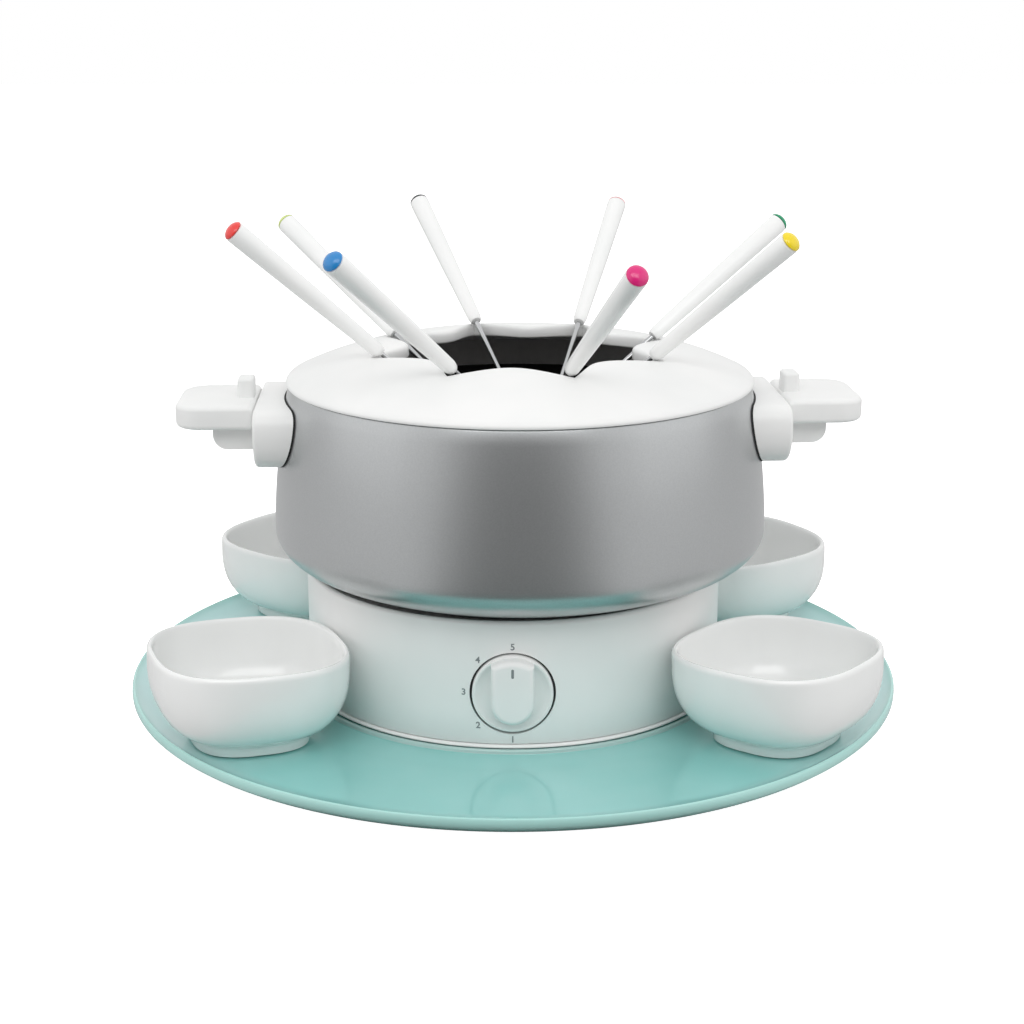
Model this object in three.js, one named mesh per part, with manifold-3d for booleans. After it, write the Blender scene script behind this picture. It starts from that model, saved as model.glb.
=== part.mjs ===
// Electric fondue set: a heated base with a control knob on a round glass tray, a pot with two
// handles, a fork ring, eight forks and four bowls.
// Millimetres, +Z up, front towards -Y. The origin is on the table under the middle of the tray.

import * as THREE from 'three';
import { mergeVertices } from 'three/addons/utils/BufferGeometryUtils.js';
import Module from 'manifold-3d';

const wasm = await Module();
wasm.setup();

// ---------------------------------------------------------------- driving dimensions

const GAP = 0.3; // between pieces that touch or rest on each other
const DEG = Math.PI / 180;

const TRAY_RADIUS = 175;
const TRAY_THICKNESS = 5;
const TRAY_TOP = 7; // height of the flat middle
const TRAY_FLAT_RADIUS = 112;
const TRAY_SLOPE = Math.tan(2 * DEG);
const TRAY_CURL_START = 160;
const TRAY_CURL_RISE = 4.2;

const BASE_RADIUS = 94.3;
const BASE_WALL = 2.5;
const BASE_TOP = 64;
const COVER_BOTTOM = TRAY_TOP + GAP + 1;
const COVER_RADIUS = 95.3; // clears the bowls when the base is lifted out between them
const DECK_TOP = 58.6;
const DECK_THICKNESS = 2.4;
const DECK_HOLE_RADIUS = 74;
const PLATE_TOP = 60.9;
const PLATE_BOTTOM = 53.6;

const KNOB_HEIGHT = 32.6;
const KNOB_RADIUS = 17;
const KNOB_FACE = -94.8;
const KNOB_FRONT = -101;
const GRIP_WIDTH = 18;
const INLET_HEIGHT = 30;

const POT_SHIFT = 3.1; // the pot stands off the base's middle by its play in the recess
const POT_TURN = 3 * DEG;
const POT_BOTTOM = PLATE_TOP + GAP;
const POT_FLAT_RADIUS = 57;
const POT_BELLY_RADIUS = 111;
const POT_BELLY_HEIGHT = 82.5;
const POT_RIM_RADIUS = 103.3;
const POT_RIM_HEIGHT = 147;
const POT_WALL = 2.2;
const POT_FLOOR = 3.4;
const POT_CORNER = 2.25; // exponent of the rounded lower corner
const POT_TAPER = 1.7; // exponent of the narrowing towards the rim

const GASKET = 0.8;
const GASKET_LIP = 0.4; // how far the gasket shows round the bracket
const BRACKET_HALF = 38.6;
const BRACKET_FACE = 117; // the bracket's flat outer face, from the pot's axis
const GRIP_END = 152.2;
const GRIP_TOP = 141;
const GRIP_BOTTOM = 130.3;
const GRIP_HALF = 25;

const RING_RADIUS = 104.3;
const RING_CROWN = 162.3; // height of the dome at the lobes' tips
const RING_DROP = 13.1; // the dome falls this much to the outer edge
const RING_LOBE_RADIUS = 50;
const RING_NOTCH_RADIUS = 68;
const RING_FIXED_RADIUS = 92; // outside this the ring is plain round
const RING_TURN = -3.5 * DEG;
const TAB_RADIUS = 98.3; // the four tabs under the ring that keep it centred in the pot's rim
const TAB_THICKNESS = 2;
const TAB_WIDTH = 40;
const TAB_BOTTOM = 141.5;
const TAB_ANGLES = [30, 150];
const FORK_COUNT = 8;

const FORK_SEAT_RADIUS = 64; // where a handle's lower end sits in its notch
const FORK_SEAT_HEIGHT = 162.5;
const FORK_HANDLE_LENGTH = 84.2;
const FORK_SHANK_LENGTH = 108;
const FORK_HEAD_LENGTH = 22;

const BOWL_HALF = 41;
const BOWL_HEIGHT = 40;
const BOWL_SQUARENESS = 2.7; // exponent of the rounded-square plan: 2 is round
const BOWL_DISTANCE = 138.5;
const BOWL_TILT = 2 * DEG;

// One row per fork, round the ring from the front right: its cap's colour, its lean above the
// horizontal, and how far it turns aside from pointing straight at the pot's axis, in degrees.
const FORKS = [
  { name: 'green', at: 22.5, lean: 34.5, turn: 10.5, cap: 0x1e8f63 },
  { name: 'pink', at: 67.5, lean: 35.5, turn: 8.5, cap: 0xf0c9c6 },
  { name: 'black', at: 112.5, lean: 36.5, turn: 7, cap: 0x4a4a4c },
  { name: 'lime', at: 157.5, lean: 32.5, turn: -14.5, cap: 0xdfe6b4 },
  { name: 'red', at: 202.5, lean: 41.5, turn: 3.5, cap: 0xe8504a },
  { name: 'blue', at: 247.5, lean: 38, turn: -15, cap: 0x2f8fcd },
  { name: 'magenta', at: 292.5, lean: 35.5, turn: 0.5, cap: 0xe03078 },
  { name: 'yellow', at: 337.5, lean: 40, turn: -11, cap: 0xf5dc22 },
];

const BOWLS = [
  { name: 'bowl_rear_right', at: 35.5, twist: -4 },
  { name: 'bowl_rear_left', at: 139, twist: 6 },
  { name: 'bowl_front_left', at: 215.5, twist: -14 },
  { name: 'bowl_front_right', at: 324.5, twist: -4 },
];

// ---------------------------------------------------------------- materials

function finish(color, roughness, metalness = 0, extra = {}) {
  return new THREE.MeshStandardMaterial({ color, roughness, metalness, ...extra });
}

const WHITE_PLASTIC = finish(0xf2f2f2, 0.35);
const DARK_PLASTIC = finish(0x3a3a3c, 0.6);
const GREY_COATING = finish(0x8f9194, 0.4, 0.5);
const STEEL = finish(0xb9bbbd, 0.3, 1);
const ALUMINIUM = finish(0xa9abad, 0.45, 1);
const BRASS = finish(0xc9a44a, 0.35, 1);
const PORCELAIN = finish(0xf4f4f2, 0.15);
const SILICONE = finish(0x2e2f31, 0.8);
const CLEAR_SILICONE = finish(0xd8e4e2, 0.6);
const TEAL_GLASS = finish(0x7fcfca, 0.12, 0, { transparent: true, opacity: 0.6 });

// ---------------------------------------------------------------- solids

// A closed geometry as a manifold solid: doubles merged, triangles with no area left out.
function solid(geometry) {
  const bare = geometry.clone();
  bare.deleteAttribute('normal');
  bare.deleteAttribute('uv');
  const merged = mergeVertices(bare, 1e-4);
  const index = Array.from(merged.index.array);
  const kept = [];
  for (let i = 0; i < index.length; i += 3) {
    const [a, b, c] = index.slice(i, i + 3);
    if (a !== b && b !== c && c !== a) {
      kept.push(a, b, c);
    }
  }
  const mesh = new wasm.Mesh({
    numProp: 3,
    vertProperties: new Float32Array(merged.attributes.position.array),
    triVerts: new Uint32Array(kept),
  });
  return new wasm.Manifold(mesh);
}

function toGeometry(manifold) {
  const mesh = manifold.getMesh();
  const geometry = new THREE.BufferGeometry();
  geometry.setAttribute('position', new THREE.Float32BufferAttribute(mesh.vertProperties, 3));
  geometry.setIndex(Array.from(mesh.triVerts));
  geometry.computeVertexNormals();
  return geometry;
}

function place(geometry, x, y, z) {
  return geometry.translate(x, y, z);
}

// A [radius, height] outline, anticlockwise, turned round Z.
function turned(outline, segments, start = 0) {
  const points = outline.map(([r, z]) => new THREE.Vector2(r, z));
  return new THREE.LatheGeometry(points, segments, start).rotateX(Math.PI / 2);
}

function ring(outline, segments, start = 0) {
  return turned([...outline, outline[0]], segments, start);
}

// An upright cylinder that stands on z = low.
function post(radius, low, high, segments = 20) {
  const geometry = new THREE.CylinderGeometry(radius, radius, high - low, segments);
  return geometry.rotateX(Math.PI / 2).translate(0, 0, (low + high) / 2);
}

// A cylinder along Y, from y = front to y = back.
function rod(radius, front, back, z, segments = 24) {
  const geometry = new THREE.CylinderGeometry(radius, radius, back - front, segments);
  return geometry.translate(0, (front + back) / 2, z);
}

function block(width, depth, height, x, y, z) {
  return new THREE.BoxGeometry(width, depth, height).translate(x, y, z);
}

function roundedRectangle(x0, y0, x1, y1, outer, inner) {
  const shape = new THREE.Shape();
  shape.moveTo(x0 + inner, y0);
  shape.lineTo(x1 - outer, y0);
  shape.absarc(x1 - outer, y0 + outer, outer, -Math.PI / 2, 0);
  shape.lineTo(x1, y1 - outer);
  shape.absarc(x1 - outer, y1 - outer, outer, 0, Math.PI / 2);
  shape.lineTo(x0 + inner, y1);
  shape.absarc(x0 + inner, y1 - inner, inner, Math.PI / 2, Math.PI);
  shape.lineTo(x0, y0 + inner);
  shape.absarc(x0 + inner, y0 + inner, inner, Math.PI, Math.PI * 1.5);
  return shape;
}

const plain = { bevelEnabled: false, curveSegments: 6 };

const set = new THREE.Group();

function part(name, manifold, material, parent = set) {
  const mesh = new THREE.Mesh(toGeometry(manifold), material);
  mesh.name = name;
  parent.add(mesh);
  return mesh;
}

// ---------------------------------------------------------------- serving tray

function trayHeight(r) {
  const slope = Math.max(0, r - TRAY_FLAT_RADIUS) * TRAY_SLOPE;
  const curl = Math.max(0, r - TRAY_CURL_START) / (TRAY_RADIUS - TRAY_CURL_START);
  return TRAY_TOP + slope + TRAY_CURL_RISE * curl * curl;
}

function addTray() {
  const radii = [TRAY_FLAT_RADIUS, TRAY_CURL_START, 166, 171];
  const under = radii.map((r) => [r, trayHeight(r) - TRAY_THICKNESS]);
  const over = radii.map((r) => [r, trayHeight(r)]).reverse();
  const edge = trayHeight(TRAY_RADIUS);
  const rim = [
    [TRAY_RADIUS - 0.4, edge - TRAY_THICKNESS + 0.5],
    [TRAY_RADIUS, edge - TRAY_THICKNESS + 1.2],
    [TRAY_RADIUS, edge - 0.8],
    [TRAY_RADIUS - 0.6, edge - 0.2],
  ];
  const bottom = TRAY_TOP - TRAY_THICKNESS;
  const outline = [[0, bottom], ...under, ...rim, ...over, [0, TRAY_TOP]];
  part('serving_tray', solid(turned(outline, 56)), TEAL_GLASS);

  const footTop = bottom - GAP;
  const foot = [[96, 0], [103, 0], [103, footTop], [96, footTop]];
  part('tray_foot_ring', solid(ring(foot, 32)), CLEAR_SILICONE);
}

// ---------------------------------------------------------------- heated base

const SCREW_RADIUS = 80;
const SCREW_ANGLES = [45, 165, 285];
const FOOT_RADIUS = 78;
const FOOT_ANGLES = [105, 225, 345];

function onCircle(geometry, radius, degrees) {
  return geometry.translate(radius, 0, 0).rotateZ(degrees * DEG);
}

function addBaseShell() {
  const r = BASE_RADIUS;
  const inside = r - BASE_WALL;
  const underDeck = DECK_TOP - DECK_THICKNESS;
  const low = COVER_BOTTOM + 1.7;
  const outline = [
    [inside, low], [r - 0.5, low], [r, low + 0.6],
    [r, BASE_TOP - 1.8], [r - 0.5, BASE_TOP - 0.6], [r - 1.7, BASE_TOP], [r - 3, BASE_TOP - 0.4],
    [r - 4, BASE_TOP - 1.8], [r - 4.8, DECK_TOP],
    [DECK_HOLE_RADIUS, DECK_TOP], [DECK_HOLE_RADIUS, underDeck],
    [inside - 1.6, underDeck], [inside, underDeck - 1.6],
  ];
  let shell = solid(ring(outline, 48));
  for (const angle of SCREW_ANGLES) {
    const boss = solid(onCircle(post(4.2, COVER_BOTTOM + 2.7, underDeck + 1, 12), SCREW_RADIUS, angle));
    const hole = solid(onCircle(post(1.8, 0, COVER_BOTTOM + 14, 10), SCREW_RADIUS, angle));
    shell = shell.add(boss).subtract(hole);
  }
  const dialHole = solid(rod(KNOB_RADIUS + 1.05, -r - 5, -r + 12, KNOB_HEIGHT, 32));
  const inletHole = solid(block(28, 24, 21, 0, r, INLET_HEIGHT));
  part('base_shell', shell.subtract(dialHole).subtract(inletHole), WHITE_PLASTIC);
}

function addBottomCover() {
  const z = COVER_BOTTOM;
  const outline = [
    [0, z], [COVER_RADIUS - 0.4, z], [COVER_RADIUS, z + 0.4], [COVER_RADIUS - 0.2, z + 1],
    [COVER_RADIUS - 1, z + 1.4], [90.4, z + 1.4], [90.4, z + 6], [88.4, z + 6], [88.4, z + 2.4], [0, z + 2.4],
  ];
  let cover = solid(turned(outline, 32));
  const screw = solid(post(3.2, z + 0.2, z + 1.5, 12)).add(solid(post(1.4, z + 1.4, z + 12, 8)));
  for (const [i, angle] of SCREW_ANGLES.entries()) {
    const head = solid(onCircle(post(3.6, z - 1, z + 1.8, 12), SCREW_RADIUS, angle));
    const hole = solid(onCircle(post(1.8, z - 1, z + 4, 10), SCREW_RADIUS, angle));
    cover = cover.subtract(head).subtract(hole);
    const mesh = part(`cover_screw_${i + 1}`, screw, STEEL);
    mesh.position.set(SCREW_RADIUS * Math.cos(angle * DEG), SCREW_RADIUS * Math.sin(angle * DEG), 0);
  }
  const foot = solid(post(6, TRAY_TOP + GAP, z + 0.9, 16));
  for (const [i, angle] of FOOT_ANGLES.entries()) {
    cover = cover.subtract(solid(onCircle(post(6.3, z - 1, z + 1.2, 16), FOOT_RADIUS, angle)));
    const mesh = part(`base_foot_${i + 1}`, foot, SILICONE);
    mesh.position.set(FOOT_RADIUS * Math.cos(angle * DEG), FOOT_RADIUS * Math.sin(angle * DEG), 0);
  }
  part('base_bottom_cover', cover, WHITE_PLASTIC);
}

function addHeater() {
  const flangeTop = DECK_TOP - DECK_THICKNESS - GAP;
  const plate = [
    [0, PLATE_BOTTOM], [75.5, PLATE_BOTTOM], [75.5, flangeTop], [DECK_HOLE_RADIUS - 1, flangeTop],
    [DECK_HOLE_RADIUS - 1, PLATE_TOP - 1], [DECK_HOLE_RADIUS - 2, PLATE_TOP], [0, PLATE_TOP],
  ];
  part('heating_plate', solid(turned(plate, 32)), ALUMINIUM);

  // A tube bent into an open ring under the plate, its two cold ends turned down.
  const tube = 3.2;
  const radius = 52;
  const level = PLATE_BOTTOM - 2 - tube;
  const points = [];
  for (let degrees = -60; degrees <= 240; degrees += 20) {
    points.push(new THREE.Vector3(radius * Math.cos(degrees * DEG), radius * Math.sin(degrees * DEG), level));
  }
  const ends = [points[0], points[points.length - 1]];
  points.unshift(ends[0].clone().add(new THREE.Vector3(3, -3, -11)));
  points.push(ends[1].clone().add(new THREE.Vector3(-3, -3, -11)));
  const path = new THREE.CatmullRomCurve3(points, false, 'centripetal');
  const section = new THREE.Shape().absarc(0, 0, tube, 0, 2 * Math.PI);
  const element = new THREE.ExtrudeGeometry(section, { steps: 40, curveSegments: 4, extrudePath: path });
  part('heating_element', solid(element), STEEL);
}

function addThermostat() {
  const body = solid(block(30, 24, 22, 0, -48, KNOB_HEIGHT));
  const bush = solid(rod(6, -64, -55, KNOB_HEIGHT, 16));
  const tab = solid(block(40, 2, 10, 0, -42, KNOB_HEIGHT));
  part('thermostat_body', body.add(bush).add(tab), ALUMINIUM);
  part('thermostat_shaft', solid(rod(3, -90.4, -64.3, KNOB_HEIGHT, 20)), BRASS);

  const cup = solid(rod(KNOB_RADIUS + 0.75, -92.4, -84.4, KNOB_HEIGHT, 32));
  const inside = solid(rod(KNOB_RADIUS + 0.3, -95, -85.9, KNOB_HEIGHT, 32));
  const shaftHole = solid(rod(3.5, -90, -80, KNOB_HEIGHT, 20));
  part('dial_cup', cup.subtract(inside).subtract(shaftHole), DARK_PLASTIC);
}

// The knob at its highest setting: the grip's mark points up.
function addKnob() {
  const disc = solid(rod(KNOB_RADIUS, KNOB_FACE, -86.2, KNOB_HEIGHT, 32));
  const half = GRIP_WIDTH / 2;
  const grip = new THREE.Shape();
  grip.moveTo(-half, KNOB_RADIUS);
  grip.lineTo(-half, -3);
  grip.absarc(0, -3, half, Math.PI, 2 * Math.PI);
  grip.lineTo(half, KNOB_RADIUS);
  const depth = KNOB_FACE - KNOB_FRONT + 1;
  const bar = new THREE.ExtrudeGeometry(grip, { ...plain, depth, curveSegments: 10 });
  bar.rotateX(Math.PI / 2).translate(0, KNOB_FACE + 1, KNOB_HEIGHT);
  const round = solid(rod(KNOB_RADIUS - 0.8, KNOB_FRONT - 1, -88, KNOB_HEIGHT, 32));
  const bore = solid(rod(3.3, -90.7, -80, KNOB_HEIGHT, 20));
  part('control_knob', disc.add(solid(bar).intersect(round)).subtract(bore), WHITE_PLASTIC);
}

function addInlet() {
  const y = BASE_RADIUS;
  const housing = solid(block(27.2, 24, 20.2, 0, y - 11.2, INLET_HEIGHT));
  const pocket = solid(block(23, 20, 16, 0, y - 4, INLET_HEIGHT));
  part('inlet_socket', housing.subtract(pocket), DARK_PLASTIC);
  for (const [name, x] of [['line', -7], ['earth', 0], ['neutral', 7]]) {
    const pin = rod(1.9, y - 13.7, y - 2, INLET_HEIGHT + 3.8, 12);
    part(`inlet_pin_${name}`, solid(place(pin, x, 0, 0)), BRASS);
  }
}

// ---------------------------------------------------------------- pot

const pot = new THREE.Group();
pot.position.set(POT_SHIFT, 0, 0);
pot.rotation.z = POT_TURN;
set.add(pot);

// The pot's side, from its flat bottom to its rim, moved outwards by `out` and up by `up`.
function potSide(out, up) {
  const side = [];
  for (let i = 0; i <= 5; i += 1) {
    const t = (i / 5) * (Math.PI / 2);
    const spread = Math.sin(t) ** (2 / POT_CORNER);
    const drop = Math.cos(t) ** (2 / POT_CORNER);
    side.push([
      POT_FLAT_RADIUS + (POT_BELLY_RADIUS + out - POT_FLAT_RADIUS) * spread,
      POT_BELLY_HEIGHT - (POT_BELLY_HEIGHT - POT_BOTTOM - up) * drop,
    ]);
  }
  for (let i = 1; i <= 4; i += 1) {
    const s = i / 4;
    const radius = POT_BELLY_RADIUS - (POT_BELLY_RADIUS - POT_RIM_RADIUS) * s ** POT_TAPER;
    side.push([radius + out, POT_BELLY_HEIGHT + s * (POT_RIM_HEIGHT - POT_BELLY_HEIGHT)]);
  }
  return side;
}

function potBlank(out) {
  return solid(turned([[0, POT_BOTTOM], ...potSide(out, 0), [0, POT_RIM_HEIGHT]], 48));
}

function addPotBody() {
  const outside = potSide(0, 0);
  const inside = potSide(-POT_WALL, POT_FLOOR).reverse();
  const outline = [[0, POT_BOTTOM], ...outside, ...inside, [0, POT_BOTTOM + POT_FLOOR]];
  part('pot_body', solid(turned(outline, 48)), GREY_COATING, pot);
}

// The bracket's outline against the pot, in the handle's own Y and Z.
function bracketOutline(grow) {
  const shape = new THREE.Shape();
  const half = BRACKET_HALF + grow;
  const low = 113 - grow;
  const high = 141 + grow;
  shape.moveTo(17 - half, low);
  shape.lineTo(half - 17, low);
  shape.bezierCurveTo(half - 3, 116, half + 1, 124, half, 133);
  shape.quadraticCurveTo(half - 1, high, half - 9, high);
  shape.lineTo(9 - half, high);
  shape.quadraticCurveTo(1 - half, high, -half, 133);
  shape.bezierCurveTo(-half - 1, 124, 3 - half, 116, 17 - half, low);
  return shape;
}

// An outline drawn in Y and Z, extruded along X from `from` to `to`.
function extrudeX(shape, from, to) {
  const geometry = new THREE.ExtrudeGeometry(shape, { ...plain, depth: to - from });
  return geometry.rotateX(Math.PI / 2).rotateZ(Math.PI / 2).translate(from, 0, 0);
}

function addHandle(side, turn) {
  const handle = new THREE.Group();
  handle.rotation.z = turn;
  pot.add(handle);

  const wall = potBlank(GAP);
  const padded = potBlank(GAP + GASKET);
  const seat = potBlank(GAP + GASKET + GAP);
  const gasket = solid(extrudeX(bracketOutline(GASKET_LIP), 85, 112)).intersect(padded).subtract(wall);
  part(`${side}_handle_gasket`, gasket, SILICONE, handle);

  const bracket = solid(extrudeX(bracketOutline(0), 85, BRACKET_FACE)).subtract(seat);
  part(`${side}_handle_bracket`, bracket, WHITE_PLASTIC, handle);

  const start = BRACKET_FACE + GAP;
  const gripPlan = roundedRectangle(start, -GRIP_HALF, GRIP_END, GRIP_HALF, 12, 3);
  const height = GRIP_TOP - GRIP_BOTTOM;
  const bevel = 2;
  const grip = new THREE.ExtrudeGeometry(gripPlan, {
    depth: height - 2 * bevel,
    bevelThickness: bevel,
    bevelSize: bevel,
    bevelOffset: -bevel,
    bevelSegments: 1,
    curveSegments: 4,
  });
  const lugPlan = roundedRectangle(start + 1, -6, start + 8.4, 6, 1.5, 1.5);
  const lug = new THREE.ExtrudeGeometry(lugPlan, { ...plain, depth: 11.5 });
  const whole = solid(place(grip, 0, 0, GRIP_BOTTOM + bevel)).add(solid(place(lug, 0, 0, GRIP_TOP - 1)));
  part(`${side}_handle_grip`, whole, WHITE_PLASTIC, handle);

  const guardOutline = new THREE.Shape();
  guardOutline.moveTo(start, 120);
  guardOutline.lineTo(129, 120);
  guardOutline.quadraticCurveTo(135.5, 120.6, 136, 127);
  guardOutline.lineTo(136, GRIP_BOTTOM - GAP);
  guardOutline.lineTo(start, GRIP_BOTTOM - GAP);
  const guard = new THREE.ExtrudeGeometry(guardOutline, { ...plain, depth: 34 });
  guard.rotateX(Math.PI / 2).translate(0, 17, 0);
  const screwX = 125;
  const recess = place(post(4, 118, 122.5, 16), screwX, 0, 0);
  part(`${side}_finger_guard`, solid(guard).subtract(solid(recess)), WHITE_PLASTIC, handle);
  part(`${side}_handle_screw`, solid(place(post(3.6, 120.4, 122.2, 16), screwX, 0, 0)), STEEL, handle);
}

// ---------------------------------------------------------------- fork ring

function domeHeight(r) {
  const s = (r - RING_LOBE_RADIUS) / (RING_RADIUS - RING_LOBE_RADIUS);
  return RING_CROWN - RING_DROP * s * s;
}

// The opening's radius: eight lobes bulge inwards and meet in sharp notches.
function openingRadius(angle) {
  const lobe = Math.abs(Math.cos((angle * FORK_COUNT) / 2));
  return RING_LOBE_RADIUS + (RING_NOTCH_RADIUS - RING_LOBE_RADIUS) * (1 - lobe);
}

function addForkRing() {
  const r = RING_RADIUS;
  const lobe = RING_LOBE_RADIUS;
  const rest = POT_RIM_HEIGHT + GAP;
  const top = [r - 0.9, 96, 88, 78, 66, lobe + 2].map((x) => [x, domeHeight(x)]);
  const under = [lobe + 2.4, 70, 84, 96.4].map((x) => [x, domeHeight(x) - 2.6]);
  const outline = [
    [lobe + 0.6, RING_CROWN - 6], [lobe + 2, RING_CROWN - 6], ...under,
    [98.6, rest], [r - 0.6, rest], [r, rest + 0.6], [r, rest + 1.2],
    ...top, [lobe, RING_CROWN - 1], [lobe, RING_CROWN - 5.4],
  ];
  const geometry = ring(outline, 48, Math.PI / 2);
  const position = geometry.attributes.position;
  for (let i = 0; i < position.count; i += 1) {
    const x = position.getX(i);
    const y = position.getY(i);
    const radius = Math.hypot(x, y);
    const share = (RING_FIXED_RADIUS - radius) / (RING_FIXED_RADIUS - RING_LOBE_RADIUS);
    if (share > 0) {
      const moved = radius + share * (openingRadius(Math.atan2(y, x)) - RING_LOBE_RADIUS);
      const z = position.getZ(i) + domeHeight(moved) - domeHeight(radius);
      position.setXYZ(i, (x * moved) / radius, (y * moved) / radius, z);
    }
  }

  const low = TAB_BOTTOM;
  const high = low + 9;
  const inner = TAB_RADIUS - TAB_THICKNESS;
  const rail = solid(ring([[inner, low], [TAB_RADIUS, low], [TAB_RADIUS, high], [inner, high]], 48));
  let whole = solid(geometry);
  for (const angle of TAB_ANGLES) {
    const bar = block(2 * r, TAB_WIDTH, 12, 0, 0, low + 5).rotateZ(angle * DEG);
    whole = whole.add(rail.intersect(solid(bar)));
  }
  const mesh = part('fork_ring', whole, WHITE_PLASTIC);
  mesh.position.x = POT_SHIFT;
  mesh.rotation.z = RING_TURN;
}

// ---------------------------------------------------------------- forks

// A two-tined head in local X and Z, its root at z = 0 and its points below.
function forkHead() {
  const half = 3.2;
  const wire = 1.3;
  const tip = -FORK_HEAD_LENGTH;
  const shape = new THREE.Shape();
  shape.moveTo(-1.1, 0);
  shape.quadraticCurveTo(-1.1, -3, -half, -6);
  shape.lineTo(-half, tip + 3);
  shape.lineTo(-half + 0.2, tip);
  shape.lineTo(-half + wire, tip + 3);
  shape.lineTo(-half + wire, -7.5);
  shape.quadraticCurveTo(0, -5.4, half - wire, -7.5);
  shape.lineTo(half - wire, tip + 3);
  shape.lineTo(half - 0.2, tip);
  shape.lineTo(half, tip + 3);
  shape.lineTo(half, -6);
  shape.quadraticCurveTo(1.1, -3, 1.1, 0);
  const geometry = new THREE.ExtrudeGeometry(shape, { ...plain, depth: wire, curveSegments: 3 });
  return geometry.translate(0, 0, -wire / 2).rotateX(Math.PI / 2);
}

function addForks() {
  const shank = solid(post(1.1, -FORK_SHANK_LENGTH, -GAP, 8));
  const head = solid(place(forkHead(), 0, 0, 0.5 - FORK_SHANK_LENGTH));
  const steel = shank.add(head);
  const end = FORK_HANDLE_LENGTH;
  const handle = solid(turned([
    [0, 0], [2.7, 0], [3.2, 1], [4, 40], [4.7, end], [0, end],
  ], 12));
  const cap = solid(turned([
    [0, end + GAP], [4.5, end + GAP], [4.4, end + 1], [3.2, end + 2.4], [0, end + 3],
  ], 12));
  for (const fork of FORKS) {
    const bearing = fork.at * DEG + RING_TURN;
    const group = new THREE.Group();
    group.position.set(
      POT_SHIFT + FORK_SEAT_RADIUS * Math.cos(bearing),
      FORK_SEAT_RADIUS * Math.sin(bearing),
      FORK_SEAT_HEIGHT,
    );
    group.rotation.set(0, (90 - fork.lean) * DEG, bearing + fork.turn * DEG, 'ZYX');
    set.add(group);
    part(`fork_${fork.name}_shank`, steel, STEEL, group);
    part(`fork_${fork.name}_handle`, handle, WHITE_PLASTIC, group);
    part(`fork_${fork.name}_cap`, cap, finish(fork.cap, 0.3), group);
  }
}

// ---------------------------------------------------------------- bowls

// Moves a round geometry's points outwards to a rounded square.
function squareOff(geometry, exponent) {
  const position = geometry.attributes.position;
  for (let i = 0; i < position.count; i += 1) {
    const x = position.getX(i);
    const y = position.getY(i);
    const radius = Math.hypot(x, y);
    if (radius > 1e-6) {
      const sum = Math.abs(x / radius) ** exponent + Math.abs(y / radius) ** exponent;
      const stretch = sum ** (-1 / exponent);
      position.setXY(i, x * stretch, y * stretch);
    }
  }
  return geometry;
}

function addBowls() {
  const h = BOWL_HEIGHT;
  const a = BOWL_HALF;
  const outline = [
    [0, 3.4], [19, 3.4], [20.6, 0], [24.6, 0], [25, 0.6], [24.8, 4.6],
    [30, 7], [35.5, 12], [39, 18.5], [a, 30],
    [a - 0.3, h - 0.9], [a - 1.2, h], [a - 2.2, h - 0.7],
    [a - 2.8, 30], [a - 4.4, 20], [a - 9.5, 12], [22, 8], [0, 6.8],
  ];
  const bowl = solid(squareOff(turned(outline, 24), BOWL_SQUARENESS));
  for (const { name, at, twist } of BOWLS) {
    const group = new THREE.Group();
    group.position.set(
      BOWL_DISTANCE * Math.cos(at * DEG),
      BOWL_DISTANCE * Math.sin(at * DEG),
      trayHeight(BOWL_DISTANCE) + 0.5,
    );
    group.rotation.set(0, -BOWL_TILT, at * DEG, 'ZYX');
    set.add(group);
    const mesh = part(name, bowl, PORCELAIN, group);
    mesh.rotation.z = twist * DEG;
  }
}

// ---------------------------------------------------------------- the set

addTray();
addBaseShell();
addBottomCover();
addHeater();
addThermostat();
addKnob();
addInlet();
addPotBody();
addHandle('right', 0);
addHandle('left', Math.PI);
addForkRing();
addForks();
addBowls();

export default set;
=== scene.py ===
# Electric fondue set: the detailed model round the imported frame, in metres.
# Outlines are written in millimetres and turned into metres as they are drawn.
import math

import bpy
from mathutils import Matrix, Vector


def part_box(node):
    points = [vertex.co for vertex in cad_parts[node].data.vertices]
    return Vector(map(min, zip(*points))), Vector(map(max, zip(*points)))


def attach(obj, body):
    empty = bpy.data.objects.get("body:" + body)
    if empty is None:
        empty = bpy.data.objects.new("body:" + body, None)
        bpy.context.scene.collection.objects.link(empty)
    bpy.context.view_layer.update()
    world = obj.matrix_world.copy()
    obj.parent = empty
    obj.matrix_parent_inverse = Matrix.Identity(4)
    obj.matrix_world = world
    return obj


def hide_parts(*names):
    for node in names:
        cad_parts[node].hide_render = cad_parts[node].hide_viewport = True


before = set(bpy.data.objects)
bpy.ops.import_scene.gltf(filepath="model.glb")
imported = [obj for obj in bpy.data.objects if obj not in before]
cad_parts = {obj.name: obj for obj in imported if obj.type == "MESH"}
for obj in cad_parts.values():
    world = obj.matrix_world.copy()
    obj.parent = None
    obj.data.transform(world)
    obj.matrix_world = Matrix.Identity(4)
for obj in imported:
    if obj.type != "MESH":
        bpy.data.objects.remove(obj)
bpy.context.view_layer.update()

MM = 0.001
REST_GAP = 0.3  # between pieces that rest on each other

# ---------------------------------------------------------------- driving dimensions (mm)

TRAY_TOP = 7
TRAY_THICKNESS = 5
TRAY_FLAT_RADIUS = 112
TRAY_SLOPE = math.tan(math.radians(2))
TRAY_CURL_START = 160
TRAY_CURL_RISE = 4.2
TRAY_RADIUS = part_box("serving_tray")[1].x / MM
FOOT_RING = (96, 103)  # inner and outer radius of the pad that the tray stands on

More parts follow.
